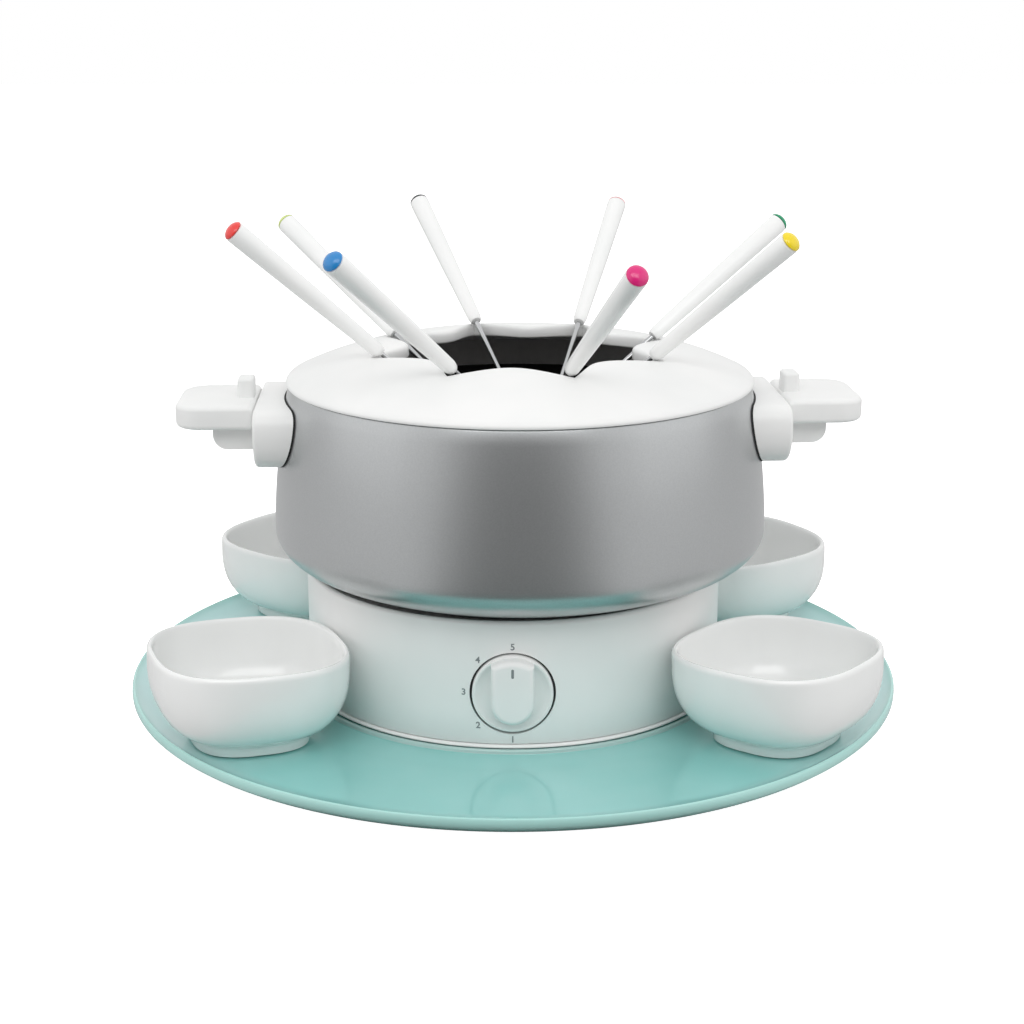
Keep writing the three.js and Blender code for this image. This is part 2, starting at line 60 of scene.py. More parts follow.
BASE_RADIUS = 94.3
BASE_WALL = 2.5
BASE_TOP = 64
BASE_BOTTOM = 10
COVER_BOTTOM = 8.3
COVER_RADIUS = 95.3
BEAD_RADIUS = 97.2  # the low ring on the tray that keeps the base in its place
BEAD_HALF = 1.1
BEAD_TOP = 8.8
DECK_TOP = 58.6
DECK_THICKNESS = 2.4
DECK_HOLE_RADIUS = 74
SCREW_CIRCLE = 80
SCREW_ANGLES = (45, 165, 285)
FOOT_CIRCLE = 78
FOOT_ANGLES = (105, 225, 345)

DIAL_HEIGHT = 32.6
KNOB_RADIUS = 17
KNOB_FACE = 94.8  # how far the knob's rim stands in front of the base's middle
KNOB_FRONT = 101
GRIP_HALF_WIDTH = 9

POT_SHIFT = 3.1
POT_TURN = math.radians(3)
POT_BOTTOM = 61.2
POT_FLAT_RADIUS = 57
POT_BELLY_RADIUS = 111
POT_BELLY_HEIGHT = 82.5
POT_RIM_RADIUS = 103.3
POT_RIM_HEIGHT = 147
POT_WALL = 2.2
POT_FLOOR = 3.4
POT_CORNER = 2.25
POT_TAPER = 1.7
COATING_LINE = 133.6  # the black non-stick lining starts below this height

RING_RADIUS = 104.3
RING_CROWN = 162.3
RING_DROP = 13.1
RING_REST = 147.3
LOBE_RADIUS = 50
NOTCH_RADIUS = 68
RING_FIXED_RADIUS = 92
RING_TURN = math.radians(-3.5)
TAB_RADII = (96.3, 98.3)
TAB_HEIGHTS = (141.5, 150.5)
TAB_HALF_WIDTH = 20
TAB_ANGLES = (30, 150)
FORK_COUNT = 8

SEAT_RADIUS = 64
SEAT_HEIGHT = 162.5
HANDLE_LENGTH = 84.2
SHANK_LENGTH = 108
HEAD_LENGTH = 22

BOWL_HALF = 41
BOWL_HEIGHT = 40
BOWL_SQUARENESS = 2.7
BOWL_DISTANCE = 138.5
BOWL_TILT = math.radians(2)

# Fork colour: place round the ring, lean above the horizontal, turn aside, cap colour.
FORKS = {
    "green": (22.5, 34.5, 10.5, "#0f9a6c"),
    "pink": (67.5, 35.5, 8.5, "#f6c9cb"),
    "black": (112.5, 36.5, 7, "#4b4c4e"),
    "lime": (157.5, 32.5, -14.5, "#dcea9a"),
    "red": (202.5, 41.5, 3.5, "#ee3b36"),
    "blue": (247.5, 38, -15, "#1e86cc"),
    "magenta": (292.5, 35.5, 0.5, "#e3197b"),
    "yellow": (337.5, 40, -11, "#f7dc0a"),
}

# Bowl: place round the tray and twist about its own middle.
BOWLS = {
    "bowl_rear_right": (35.5, -4),
    "bowl_rear_left": (139, 6),
    "bowl_front_left": (215.5, -14),
    "bowl_front_right": (324.5, -4),
}

# ---------------------------------------------------------------- shader helpers


def colour(code):
    """An sRGB hex code as linear red, green, blue and alpha."""
    channels = [int(code[i:i + 2], 16) / 255 for i in (1, 3, 5)]
    linear = [c / 12.92 if c <= 0.04045 else ((c + 0.055) / 1.055) ** 2.4 for c in channels]
    return (*linear, 1)


def add_node(tree, kind, settings=None, inputs=None):
    """Adds a shader node; an input is either a value or another node's output."""
    node = tree.nodes.new(kind)
    for name, value in (settings or {}).items():
        setattr(node, name, value)
    for name, value in (inputs or {}).items():
        if isinstance(value, bpy.types.NodeSocket):
            tree.links.new(value, node.inputs[name])
        else:
            node.inputs[name].default_value = value
    return node


def new_material(name):
    """An empty node material with its output, and its object coordinates in metres."""
    material = bpy.data.materials.new(name)
    material.use_nodes = True
    tree = material.node_tree
    tree.nodes.clear()
    output = add_node(tree, "ShaderNodeOutputMaterial")
    place = add_node(tree, "ShaderNodeTexCoord").outputs["Object"]
    return material, tree, output, place


def per_mm(size):
    """The noise scale that gives one feature every `size` millimetres."""
    return 1 / (size * MM)


def fine_material(name, base, shade, roughness, grain, depth, variation=0.04, **surface):
    """A surface whose tone drifts softly, with a fine grain in its gloss and its relief."""
    material, tree, output, place = new_material(name)
    drift = add_node(tree, "ShaderNodeTexNoise", None, {
        "Vector": place, "Scale": per_mm(38), "Detail": 2.0, "Roughness": 0.45})
    fine = add_node(tree, "ShaderNodeTexNoise", None, {
        "Vector": place, "Scale": per_mm(grain), "Detail": 3.0, "Roughness": 0.6})
    tone = add_node(tree, "ShaderNodeValToRGB", None, {"Fac": drift.outputs["Fac"]})
    tone.color_ramp.elements[0].position = 0.3
    tone.color_ramp.elements[0].color = colour(shade)
    tone.color_ramp.elements[1].position = 0.7
    tone.color_ramp.elements[1].color = colour(base)
    gloss = add_node(tree, "ShaderNodeMapRange", None, {
        "Value": fine.outputs["Fac"], "From Min": 0.3, "From Max": 0.7,
        "To Min": roughness - variation, "To Max": roughness + variation})
    relief = add_node(tree, "ShaderNodeBump", None, {
        "Height": fine.outputs["Fac"], "Strength": 0.35, "Distance": depth * MM})
    shader = add_node(tree, "ShaderNodeBsdfPrincipled", None, {
        "Base Color": tone.outputs["Color"], "Roughness": gloss.outputs["Result"],
        "Normal": relief.outputs["Normal"], **surface})
    tree.links.new(shader.outputs["BSDF"], output.inputs["Surface"])
    return material


# ---------------------------------------------------------------- materials

# Polypropylene, injection moulded in a fine-etched tool: a soft even white with a low sheen.
WHITE_PLASTIC = fine_material(
    "white_moulded_polypropylene", "#f4f4f3", "#eeefee", 0.36, 0.45, 0.02,
    IOR=1.49, **{"Specular IOR Level": 0.45})

# The fork handles: the same white resin from a polished tool, so a little glossier.
HANDLE_PLASTIC = fine_material(
    "white_polished_abs", "#fafaf9", "#f6f7f6", 0.24, 0.6, 0.008, variation=0.03,
    IOR=1.53, **{"Coat Weight": 0.15, "Coat Roughness": 0.2})

# Glazed porcelain: a cool white body under a glassy glaze that pools in long shallow waves.
PORCELAIN = fine_material(
    "white_glazed_porcelain", "#f5f6f5", "#f0f1f0", 0.2, 9, 0.05, variation=0.04,
    IOR=1.5, **{"Coat Weight": 0.6, "Coat Roughness": 0.06, "Subsurface Weight": 0.08,
                "Subsurface Radius": (0.004, 0.004, 0.0038), "Subsurface Scale": 1.0})

# Black ABS of the dial's cup and the inlet: matt, with the etched grain of a moulded part.
BLACK_PLASTIC = fine_material(
    "black_etched_abs", "#2b2c2e", "#222324", 0.55, 0.4, 0.03, IOR=1.53)

# Silicone rubber: dark and dry, with no clear highlight.
BLACK_SILICONE = fine_material(
    "black_silicone_rubber", "#242527", "#1d1e20", 0.72, 0.6, 0.03, IOR=1.43)

# The tray's foot: milky translucent silicone.
MILKY_SILICONE = fine_material(
    "milky_silicone_rubber", "#dfe9e7", "#d2dfdc", 0.5, 0.8, 0.02,
    IOR=1.43, **{"Transmission Weight": 0.25})

# Cast and faced aluminium of the heating plate: a pale matt grey metal.
CAST_ALUMINIUM = fine_material(
    "cast_aluminium", "#b9bbbd", "#a7a9ab", 0.42, 0.8, 0.03, Metallic=1.0)

# Stainless steel wire, drawn and polished: bright, with fine lengthwise streaks.
STAINLESS = fine_material(
    "polished_stainless_steel", "#cfd0d1", "#bdbfc0", 0.2, 0.5, 0.008, Metallic=1.0)

# Turned brass of the spindle and the pins.
BRASS = fine_material("turned_brass", "#c9a85a", "#b8974c", 0.3, 0.5, 0.01, Metallic=1.0)

# Grey pad-printed ink: flat, slightly raised.
PRINT_INK = fine_material("grey_pad_print", "#888d8f", "#818688", 0.6, 0.4, 0.01)

CAPS = {
    # Coloured ABS plugs in the fork ends: saturated, smooth and glossy.
    name: fine_material(
        f"glossy_{name}_abs", row[3], row[3], 0.22, 0.7, 0.01, variation=0.03,
        IOR=1.53, **{"Coat Weight": 0.4, "Coat Roughness": 0.1})
    for name, row in FORKS.items()
}


def make_pot_coating():
    """Sprayed metallic lacquer on aluminium outside, PTFE inside below the coating line, and above
    it inside a paler matt grey as painted light.
    """
    material, tree, output, place = new_material("grey_lacquer_ptfe_and_painted_inner_light")
    flake = add_node(tree, "ShaderNodeTexNoise", None, {
        "Vector": place, "Scale": per_mm(0.7), "Detail": 3.0, "Roughness": 0.7})
    drift = add_node(tree, "ShaderNodeTexNoise", None, {
        "Vector": place, "Scale": per_mm(60), "Detail": 1.0})
    lacquer = add_node(tree, "ShaderNodeValToRGB", None, {"Fac": flake.outputs["Fac"]})
    lacquer.color_ramp.elements[0].position = 0.32
    lacquer.color_ramp.elements[0].color = colour("#b7b9ba")
    lacquer.color_ramp.elements[1].position = 0.68
    lacquer.color_ramp.elements[1].color = colour("#bfc1c2")
    gloss = add_node(tree, "ShaderNodeMapRange", {"interpolation_type": "SMOOTHSTEP"}, {
        "Value": drift.outputs["Fac"], "From Min": 0.1, "From Max": 0.9,
        "To Min": 0.29, "To Max": 0.32})
    relief = add_node(tree, "ShaderNodeBump", None, {
        "Height": flake.outputs["Fac"], "Strength": 0.1, "Distance": 0.004 * MM})
    outside = add_node(tree, "ShaderNodeBsdfPrincipled", None, {
        "Base Color": lacquer.outputs["Color"], "Roughness": gloss.outputs["Result"],
        "Metallic": 0.92, "Normal": relief.outputs["Normal"],
        "Coat Weight": 0.2, "Coat Roughness": 0.35})
    grit = add_node(tree, "ShaderNodeTexNoise", None, {
        "Vector": place, "Scale": per_mm(0.5), "Detail": 2.0, "Roughness": 0.7})
    pebble = add_node(tree, "ShaderNodeBump", None, {
        "Height": grit.outputs["Fac"], "Strength": 0.4, "Distance": 0.02 * MM})
    height = add_node(tree, "ShaderNodeSeparateXYZ", None, {"Vector": place})
    below = add_node(tree, "ShaderNodeMath", {"operation": "LESS_THAN"}, {
        0: height.outputs["Z"], 1: COATING_LINE * MM})
    # Painted light: above the coating line the inside is a paler matt grey than the lacquer
    # outside. This stands in for light on the inner wall, which lies in the ring's shade.
    lining = add_node(tree, "ShaderNodeMix", {"data_type": "RGBA"}, {
        "Factor": below.outputs["Value"], "A": colour("#c6c4c3"), "B": colour("#1c1c1c")})
    inside = add_node(tree, "ShaderNodeBsdfPrincipled", None, {
        "Base Color": lining.outputs["Result"], "Roughness": 0.5,
        "Normal": pebble.outputs["Normal"]})
    lined = add_node(tree, "ShaderNodeAttribute", {"attribute_name": "lined"})
    both = add_node(tree, "ShaderNodeMixShader", None, {
        "Fac": lined.outputs["Fac"], 1: outside.outputs["BSDF"], 2: inside.outputs["BSDF"]})
    tree.links.new(both.outputs["Shader"], output.inputs["Surface"])
    return material


def make_tray_glass():
    """Bent soda-lime glass with a satin teal enamel fired on its underside: milky, glossy on top,
    with painted light making it paler towards the sides, and pale green where the eye looks into
    the cut edge."""
    material, tree, output, place = new_material("teal_enamelled_glass")
    flat = add_node(tree, "ShaderNodeMapping", None, {"Vector": place, "Scale": (1, 1, 0)})
    reach = add_node(tree, "ShaderNodeVectorMath", {"operation": "LENGTH"}, {
        0: flat.outputs["Vector"]})
    edge = add_node(tree, "ShaderNodeMapRange", {"interpolation_type": "SMOOTHSTEP"}, {
        "Value": reach.outputs["Value"],
        "From Min": (TRAY_RADIUS - 4) * MM, "From Max": (TRAY_RADIUS - 0.6) * MM})
    cloud = add_node(tree, "ShaderNodeTexNoise", None, {
        "Vector": place, "Scale": per_mm(70), "Detail": 3.0, "Roughness": 0.5})
    across = add_node(tree, "ShaderNodeSeparateXYZ", None, {"Vector": place})
    sideways = add_node(tree, "ShaderNodeMath", {"operation": "ABSOLUTE"}, {
        0: across.outputs["X"]})
    # Painted light: the colour turns paler towards the left and right. This stands in for the
    # light that falls on the sides; the glass itself is the same all round.
    pale = add_node(tree, "ShaderNodeMapRange", {"interpolation_type": "SMOOTHSTEP"}, {
        "Value": sideways.outputs["Value"], "From Min": 90 * MM, "From Max": 165 * MM,
        "To Min": 0.0, "To Max": 0.75})
    body = add_node(tree, "ShaderNodeValToRGB", None, {"Fac": cloud.outputs["Fac"]})
    body.color_ramp.elements[0].position = 0.35
    body.color_ramp.elements[0].color = colour("#a3e9e4")
    body.color_ramp.elements[1].position = 0.65
    body.color_ramp.elements[1].color = colour("#b1f0ec")
    # Mixes the painted side light into the glass colour.
    sides = add_node(tree, "ShaderNodeMix", {"data_type": "RGBA"}, {
        "Factor": pale.outputs["Result"], "A": body.outputs["Color"], "B": colour("#e0ffff")})
    # The raised ring round the base is coloured paler than the rest of the glass.
    off_bead = add_node(tree, "ShaderNodeMath", {"operation": "SUBTRACT"}, {
        0: reach.outputs["Value"], 1: BEAD_RADIUS * MM})
    bead_reach = add_node(tree, "ShaderNodeMath", {"operation": "ABSOLUTE"}, {
        0: off_bead.outputs["Value"]})
    on_bead = add_node(tree, "ShaderNodeMath", {"operation": "LESS_THAN"}, {
        0: bead_reach.outputs["Value"], 1: (BEAD_HALF + 0.1) * MM})
    bead_paler = add_node(tree, "ShaderNodeMix", {"data_type": "RGBA"}, {
        "Factor": on_bead.outputs["Value"], "A": sides.outputs["Result"], "B": colour("#c9eae6")})
    tint = add_node(tree, "ShaderNodeMix", {"data_type": "RGBA"}, {
        "Factor": edge.outputs["Result"], "A": bead_paler.outputs["Result"], "B": colour("#ccfff8")})
    wave = add_node(tree, "ShaderNodeTexNoise", None, {
        "Vector": place, "Scale": per_mm(30), "Detail": 1.0})
    relief = add_node(tree, "ShaderNodeBump", None, {
        "Height": wave.outputs["Fac"], "Strength": 0.15, "Distance": 0.05 * MM})
    shader = add_node(tree, "ShaderNodeBsdfPrincipled", None, {
        "Base Color": tint.outputs["Result"], "Roughness": 0.16, "IOR": 1.52,
        "Transmission Weight": 0.3, "Normal": relief.outputs["Normal"],
        "Coat Weight": 0.3, "Coat Roughness": 0.05})
    tree.links.new(shader.outputs["BSDF"], output.inputs["Surface"])
    return material


POT_COATING = make_pot_coating()
TEAL_GLASS = make_tray_glass()

# ---------------------------------------------------------------- modelling helpers


def clear_selection():
    if bpy.context.mode != "OBJECT":
        bpy.ops.object.mode_set(mode="OBJECT")
    bpy.ops.object.select_all(action="DESELECT")


def pick(piece):
    """Makes the piece the only one selected, and active."""
    clear_selection()
    piece.select_set(True)
    bpy.context.view_layer.objects.active = piece


def start_line(name, x, y, z):
    """A plane shrunk to one point, left in edit mode, ready to be extruded into an outline."""
    clear_selection()
    bpy.ops.mesh.primitive_plane_add(size=MM)
    piece = bpy.context.object
    piece.name = name
    bpy.ops.object.mode_set(mode="EDIT")
    bpy.ops.mesh.select_mode(type="VERT")
    bpy.ops.mesh.select_all(action="SELECT")
    bpy.ops.mesh.merge(type="CENTER")
    bpy.ops.mesh.select_all(action="SELECT")
    bpy.ops.transform.translate(value=(x * MM, y * MM, z * MM))
    return piece


def draw_on(points):
    """Extrudes the selected point through the rest of the points."""
    for before, after in zip(points, points[1:]):
        step = (Vector(after) - Vector(before)) * MM
        bpy.ops.mesh.extrude_region_move(TRANSFORM_OT_translate={"value": step})


def lathe(name, outline, steps=96):
    """A [radius, height] outline spun round the Z axis."""
    points = [(r, 0, z) for r, z in outline]
    piece = start_line(name, *points[0])
    draw_on(points)
    bpy.ops.mesh.select_all(action="SELECT")
    bpy.ops.mesh.spin(steps=steps, angle=math.tau, center=(0, 0, 0), axis=(0, 0, 1))
    bpy.ops.mesh.select_all(action="SELECT")
    bpy.ops.mesh.remove_doubles(threshold=0.004 * MM)
    bpy.ops.mesh.normals_make_consistent(inside=False)
    bpy.ops.object.mode_set(mode="OBJECT")
    return piece


def slab(name, outline, depth):
    """A closed outline of (x, y, z) points filled and extruded by a depth vector."""
    piece = start_line(name, *outline[0])
    draw_on(outline)
    bpy.ops.mesh.select_all(action="SELECT")
    bpy.ops.mesh.edge_face_add()
    bpy.ops.mesh.extrude_region_move(TRANSFORM_OT_translate={"value": Vector(depth) * MM})
    bpy.ops.mesh.select_all(action="SELECT")
    bpy.ops.mesh.normals_make_consistent(inside=False)
    bpy.ops.object.mode_set(mode="OBJECT")
    return piece


def bar(name, low, high):
    """A box from its lowest to its highest corner, ready to be bevelled."""
    clear_selection()
    middle = (Vector(low) + Vector(high)) / 2 * MM
    extent = (Vector(high) - Vector(low)) * MM
    bpy.ops.mesh.primitive_cube_add(size=1, location=middle, scale=extent)
    bpy.ops.object.transform_apply(location=True, rotation=True, scale=True)
    bpy.context.object.name = name
    return bpy.context.object


def cylinder(name, radius, low, high, sides=64):
    """An upright cylinder between two heights, for cutting."""
    clear_selection()
    bpy.ops.mesh.primitive_cylinder_add(
        vertices=sides, radius=radius * MM, depth=(high - low) * MM,
        location=(0, 0, (low + high) / 2 * MM))
    bpy.ops.object.transform_apply(location=True, rotation=True, scale=True)
    bpy.context.object.name = name
    return bpy.context.object


def put(piece, *moves):
    """Moves a piece's mesh through the given matrices, the last one first."""
    pick(piece)
    place = Matrix.Identity(4)
    for move in moves:
        place = place @ move
    piece.matrix_world = place
    bpy.ops.object.transform_apply(location=True, rotation=True, scale=True)
    return piece


def shift(x=0.0, y=0.0, z=0.0):
    return Matrix.Translation(Vector((x, y, z)) * MM)


def turn(angle, axis="Z"):
    return Matrix.Rotation(angle, 4, axis)


TO_FRONT = turn(math.pi / 2, "X")  # stands a piece's +Z up along -Y


def select_edges(piece, wanted):
    """Selects the edges whose two ends, in millimetres, pass the test."""
    pick(piece)
    bpy.context.tool_settings.mesh_select_mode = (False, True, False)
    for face in piece.data.polygons:
        face.select = False
    for vertex in piece.data.vertices:
        vertex.select = False
    for edge in piece.data.edges:
        a, b = (piece.data.vertices[i].co / MM for i in edge.vertices)
        edge.select = bool(wanted(a, b))


def bevel(piece, wanted, width, segments):
    select_edges(piece, wanted)
    bpy.ops.object.mode_set(mode="EDIT")
    bpy.ops.mesh.bevel(
        offset=width * MM, segments=segments, affect="EDGES", clamp_overlap=True)
    bpy.ops.object.mode_set(mode="OBJECT")
    return piece


def weld(piece):
    """Merges the doubles that repeated bevels leave and turns the faces out."""
    pick(piece)
    bpy.ops.object.mode_set(mode="EDIT")
    bpy.ops.mesh.select_all(action="SELECT")
    bpy.ops.mesh.remove_doubles(threshold=0.001 * MM)
    bpy.ops.mesh.normals_make_consistent(inside=False)
    bpy.ops.object.mode_set(mode="OBJECT")
    return piece


def same(a, b, axis, value, within=0.01):
    """Both ends lie at this value along the axis."""
    return abs(a[axis] - value) < within and abs(b[axis] - value) < within


def combine(piece, other, operation):
    """Cuts, joins or intersects the piece with another, which is used up."""
    pick(piece)
    bpy.ops.object.modifier_add(type="BOOLEAN")
    modifier = piece.modifiers[-1]
    modifier.operation = operation
    modifier.solver = "EXACT"
    modifier.object = other
    bpy.ops.object.modifier_apply(modifier=modifier.name)
    bpy.data.objects.remove(other)
    return piece


def smooth(piece, degrees=32):
    pick(piece)
    bpy.ops.object.shade_smooth_by_angle(angle=math.radians(degrees))
    return piece


def twin(piece, name):
    made = piece.copy()
    made.data = piece.data.copy()
    made.name = name
    bpy.context.scene.collection.objects.link(made)
    return made


def arc(x, z, radius, start, end, count):
    """Points on an arc, by its centre, radius and angles in degrees."""
    angles = [math.radians(start + (end - start) * i / count) for i in range(count + 1)]
    return [(x + radius * math.cos(a), z + radius * math.sin(a)) for a in angles]


def fit_out(piece, body, node, material):
    """Rides the piece on its body in place of a CAD node and gives it its finish."""
    piece.data.materials.clear()
    piece.data.materials.append(material)
    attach(piece, body)
    if node:
        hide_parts(node)
    return piece


# ---------------------------------------------------------------- camera, floor and light

CAMERA_PLACE = (0.0024, -0.816, 0.313)
CAMERA_PITCH = 15.62
CAMERA_LENS = 65.07
CAMERA_SHIFT = -0.0063
FLOOR_GLOW = 1.0
OPEN_SIDE = (-1.0, -0.72)  # how squarely a direction faces the open side: fully, and not at all


def make_floor_paper():
    """Matt pale paper, lit up where it is looked at directly so that it stays plain white."""
    material, tree, output, place = new_material("pale_matt_paper")
    seen = add_node(tree, "ShaderNodeLightPath").outputs["Is Camera Ray"]
    glow = add_node(tree, "ShaderNodeMath", {"operation": "MULTIPLY"}, {0: seen})
    glow.inputs[1].default_value = FLOOR_GLOW
    # Like the walls, the floor gets less light towards the open side of the studio.
    heading = add_node(tree, "ShaderNodeVectorMath", {"operation": "NORMALIZE"}, {0: place})
    split = add_node(tree, "ShaderNodeSeparateXYZ", None, {"Vector": heading.outputs["Vector"]})
    lit = add_node(tree, "ShaderNodeMapRange", {"interpolation_type": "SMOOTHSTEP"}, {
        "Value": split.outputs["Y"], "From Min": OPEN_SIDE[0], "From Max": OPEN_SIDE[1]})
    tone = add_node(tree, "ShaderNodeMix", {"data_type": "RGBA"}, {
        "Factor": lit.outputs["Result"], "A": colour("#6c6c6c"), "B": colour("#d2d2d2")})
    shader = add_node(tree, "ShaderNodeBsdfPrincipled", None, {
        "Base Color": tone.outputs["Result"], "Roughness": 0.9,
        "Emission Color": (1, 1, 1, 1), "Emission Strength": glow.outputs["Value"]})
    tree.links.new(shader.outputs["BSDF"], output.inputs["Surface"])
    return material


def set_stage():
    clear_selection()
    bpy.ops.object.camera_add(
        location=CAMERA_PLACE, rotation=(math.radians(90 - CAMERA_PITCH), 0, 0))
    camera = bpy.context.object
    camera.data.lens = CAMERA_LENS
    camera.data.sensor_width = 36
    camera.data.shift_x = CAMERA_SHIFT
    bpy.context.scene.camera = camera

    bpy.ops.mesh.primitive_plane_add(size=12, location=(0, 0, -0.0002))
    floor = bpy.context.object
    floor.name = "floor"
    floor.data.materials.append(make_floor_paper())

    lamps = {
        # name: place, aim, width, height, watts
        "left_softbox": ((-1.1, -0.3, 0.6), (0, 0, 0.1), 1.0, 1.1, 0.8),
        "right_softbox": ((1.1, -0.3, 0.6), (0, 0, 0.1), 1.0, 1.1, 0.8),
        "front_softbox": ((0, -1.0, 1.1), (0, 0, 0.1), 1.4, 0.6, 5.6),
        "overhead_softbox": ((0, 0.2, 1.5), (0, 0, 0), 1.6, 1.6, 0.2),
    }
    for name, (place, aim, width, height, watts) in lamps.items():
        bpy.ops.object.light_add(type="AREA", location=place)
        lamp = bpy.context.object
        lamp.name = name
        lamp.data.shape = "RECTANGLE"
        lamp.data.size = width
        lamp.data.size_y = height
        lamp.data.energy = watts
        lamp.rotation_euler = (Vector(aim) - Vector(place)).to_track_quat("-Z", "Y").to_euler()

    # A white studio all round, darker on the side where the room lies open behind the camera.
    world = bpy.data.worlds.new("white_studio")
    bpy.context.scene.world = world
    world.use_nodes = True
    tree = world.node_tree
    tree.nodes.clear()
    output = add_node(tree, "ShaderNodeOutputWorld")
    direction = add_node(tree, "ShaderNodeTexCoord").outputs["Generated"]
    split = add_node(tree, "ShaderNodeSeparateXYZ", None, {"Vector": direction})
    ramp = add_node(tree, "ShaderNodeMapRange", {"interpolation_type": "SMOOTHSTEP"}, {
        "Value": split.outputs["Y"], "From Min": OPEN_SIDE[0], "From Max": OPEN_SIDE[1],
        "To Min": 0.22, "To Max": 0.86})
    seen = add_node(tree, "ShaderNodeLightPath").outputs["Is Camera Ray"]
    strength = add_node(tree, "ShaderNodeMath", {"operation": "MAXIMUM"}, {
        0: ramp.outputs["Result"], 1: seen})
    sky = add_node(tree, "ShaderNodeBackground", None, {
        "Color": (1, 1, 1, 1), "Strength": strength.outputs["Value"]})
    tree.links.new(sky.outputs["Background"], output.inputs["Surface"])
    bpy.context.scene.view_settings.view_transform = "Standard"


# ---------------------------------------------------------------- serving tray


def tray_height(r):
    slope = max(0, r - TRAY_FLAT_RADIUS) * TRAY_SLOPE
    curl = max(0, r - TRAY_CURL_START) / (TRAY_RADIUS - TRAY_CURL_START)
    return TRAY_TOP + slope + TRAY_CURL_RISE * curl * curl


def make_tray():
    bend = [TRAY_FLAT_RADIUS - 3, TRAY_FLAT_RADIUS, TRAY_FLAT_RADIUS + 3]
    radii = [40, 80, *bend, 130, 145, TRAY_CURL_START, 162, 164, 166, 168, 170, 172]
    bead = [
        (BEAD_RADIUS + BEAD_HALF * side, TRAY_TOP + (BEAD_TOP - TRAY_TOP) * up)
        for side, up in ((1.2, 0), (1, 0.15), (0.95, 0.5), (0.7, 0.85), (0.3, 1),
                         (-0.3, 1), (-0.7, 0.85), (-0.95, 0.5), (-1, 0.15), (-1.2, 0))
    ]
    edge = tray_height(TRAY_RADIUS)
    half = TRAY_THICKNESS / 2
    under = [(r, tray_height(r) - TRAY_THICKNESS) for r in radii]
    over = [(r, tray_height(r)) for r in reversed(radii)]
    inner = radii.index(80) + 1
    over[-inner:-inner] = bead
    # The cut edge is ground to a flattened half round.
    rim = [
        (TRAY_RADIUS - 1.3, edge - TRAY_THICKNESS - 0.3), (TRAY_RADIUS - 0.5, edge - 4.5),
        (TRAY_RADIUS - 0.1, edge - 3.7), (TRAY_RADIUS, edge - half),
        (TRAY_RADIUS - 0.1, edge - 1.2), (TRAY_RADIUS - 0.5, edge - 0.5),
        (TRAY_RADIUS - 1.3, edge - 0.25),
    ]
    outline = [(0, TRAY_TOP - TRAY_THICKNESS), *under, *rim, *over, (0, TRAY_TOP)]
    tray = smooth(lathe("serving_tray_glass", outline, 256), 40)
    fit_out(tray, "tray", "serving_tray", TEAL_GLASS)

    foot_top = TRAY_TOP - TRAY_THICKNESS - REST_GAP
    low, high = FOOT_RING
    foot = [
        (low, 0.3), (low + 0.3, 0), (high - 0.3, 0), (high, 0.3), (high, foot_top),
        (low, foot_top), (low, 0.3),
    ]
    ring = smooth(lathe("tray_foot_pad", foot, 192))
    fit_out(ring, "tray", "tray_foot_ring", MILKY_SILICONE)


# ---------------------------------------------------------------- heated base


def make_base_shell():
    r = BASE_RADIUS
    inside = r - BASE_WALL
    under = DECK_TOP - DECK_THICKNESS
    lip = arc(r - 1.7, BASE_TOP - 1.7, 1.7, 0, 150, 10)
    outline = [
        (inside, BASE_BOTTOM), (r - 0.5, BASE_BOTTOM), (r - 0.15, BASE_BOTTOM + 0.15),
        (r, BASE_BOTTOM + 0.5), (r, 24), (r, 44), *lip,
        (r - 4, BASE_TOP - 2.4), (r - 4.8, DECK_TOP + 0.8), (r - 5.6, DECK_TOP),
        (DECK_HOLE_RADIUS + 0.4, DECK_TOP), (DECK_HOLE_RADIUS, DECK_TOP - 0.4),
        (DECK_HOLE_RADIUS, under), (inside - 1.6, under), (inside, under - 1.6),
        (inside, BASE_BOTTOM),
    ]
    shell = lathe("base_housing", outline, 288)
    for angle in SCREW_ANGLES:
        around = (turn(math.radians(angle)), shift(SCREW_CIRCLE))
        boss = put(cylinder("boss", 4.2, COVER_BOTTOM + 2.7, under + 1, 32), *around)
        combine(shell, boss, "UNION")
        hole = put(cylinder("hole", 1.8, 0, COVER_BOTTOM + 14, 24), *around)
        combine(shell, hole, "DIFFERENCE")
    dial = put(cylinder("dial_hole", KNOB_RADIUS + 1.05, r - 12, r + 5, 128),
               shift(z=DIAL_HEIGHT), TO_FRONT)
    combine(shell, dial, "DIFFERENCE")
    inlet = bar("inlet_hole", (-14, r - 12, 19.5), (14, r + 12, 40.5))
    bevel(inlet, lambda a, b: abs(a.x - b.x) < 0.01 and abs(a.z - b.z) < 0.01, 2, 6)
    combine(shell, inlet, "DIFFERENCE")
    fit_out(smooth(shell, 30), "base", "base_shell", WHITE_PLASTIC)


def make_bottom_cover():
    z = COVER_BOTTOM
    r = COVER_RADIUS
    outline = [
        (0, z), (r - 0.6, z), (r - 0.15, z + 0.15), (r, z + 0.5), (r - 0.15, z + 0.9),
        (r - 0.6, z + 1.25), (r - 1.3, z + 1.4), (90.4, z + 1.4), (90.4, z + 6), (88.4, z + 6),
        (88.4, z + 2.4), (0, z + 2.4),
    ]
    cover = lathe("base_bottom_plate", outline, 240)
    for angles, circle, radius, high in (
            (SCREW_ANGLES, SCREW_CIRCLE, 3.6, 1.8), (SCREW_ANGLES, SCREW_CIRCLE, 1.8, 4),
            (FOOT_ANGLES, FOOT_CIRCLE, 6.3, 1.2)):
        for angle in angles:
            hole = cylinder("hole", radius, z - 1, z + high, 32)
            combine(cover, put(hole, turn(math.radians(angle)), shift(circle)), "DIFFERENCE")
    fit_out(smooth(cover, 30), "base", "base_bottom_cover", WHITE_PLASTIC)


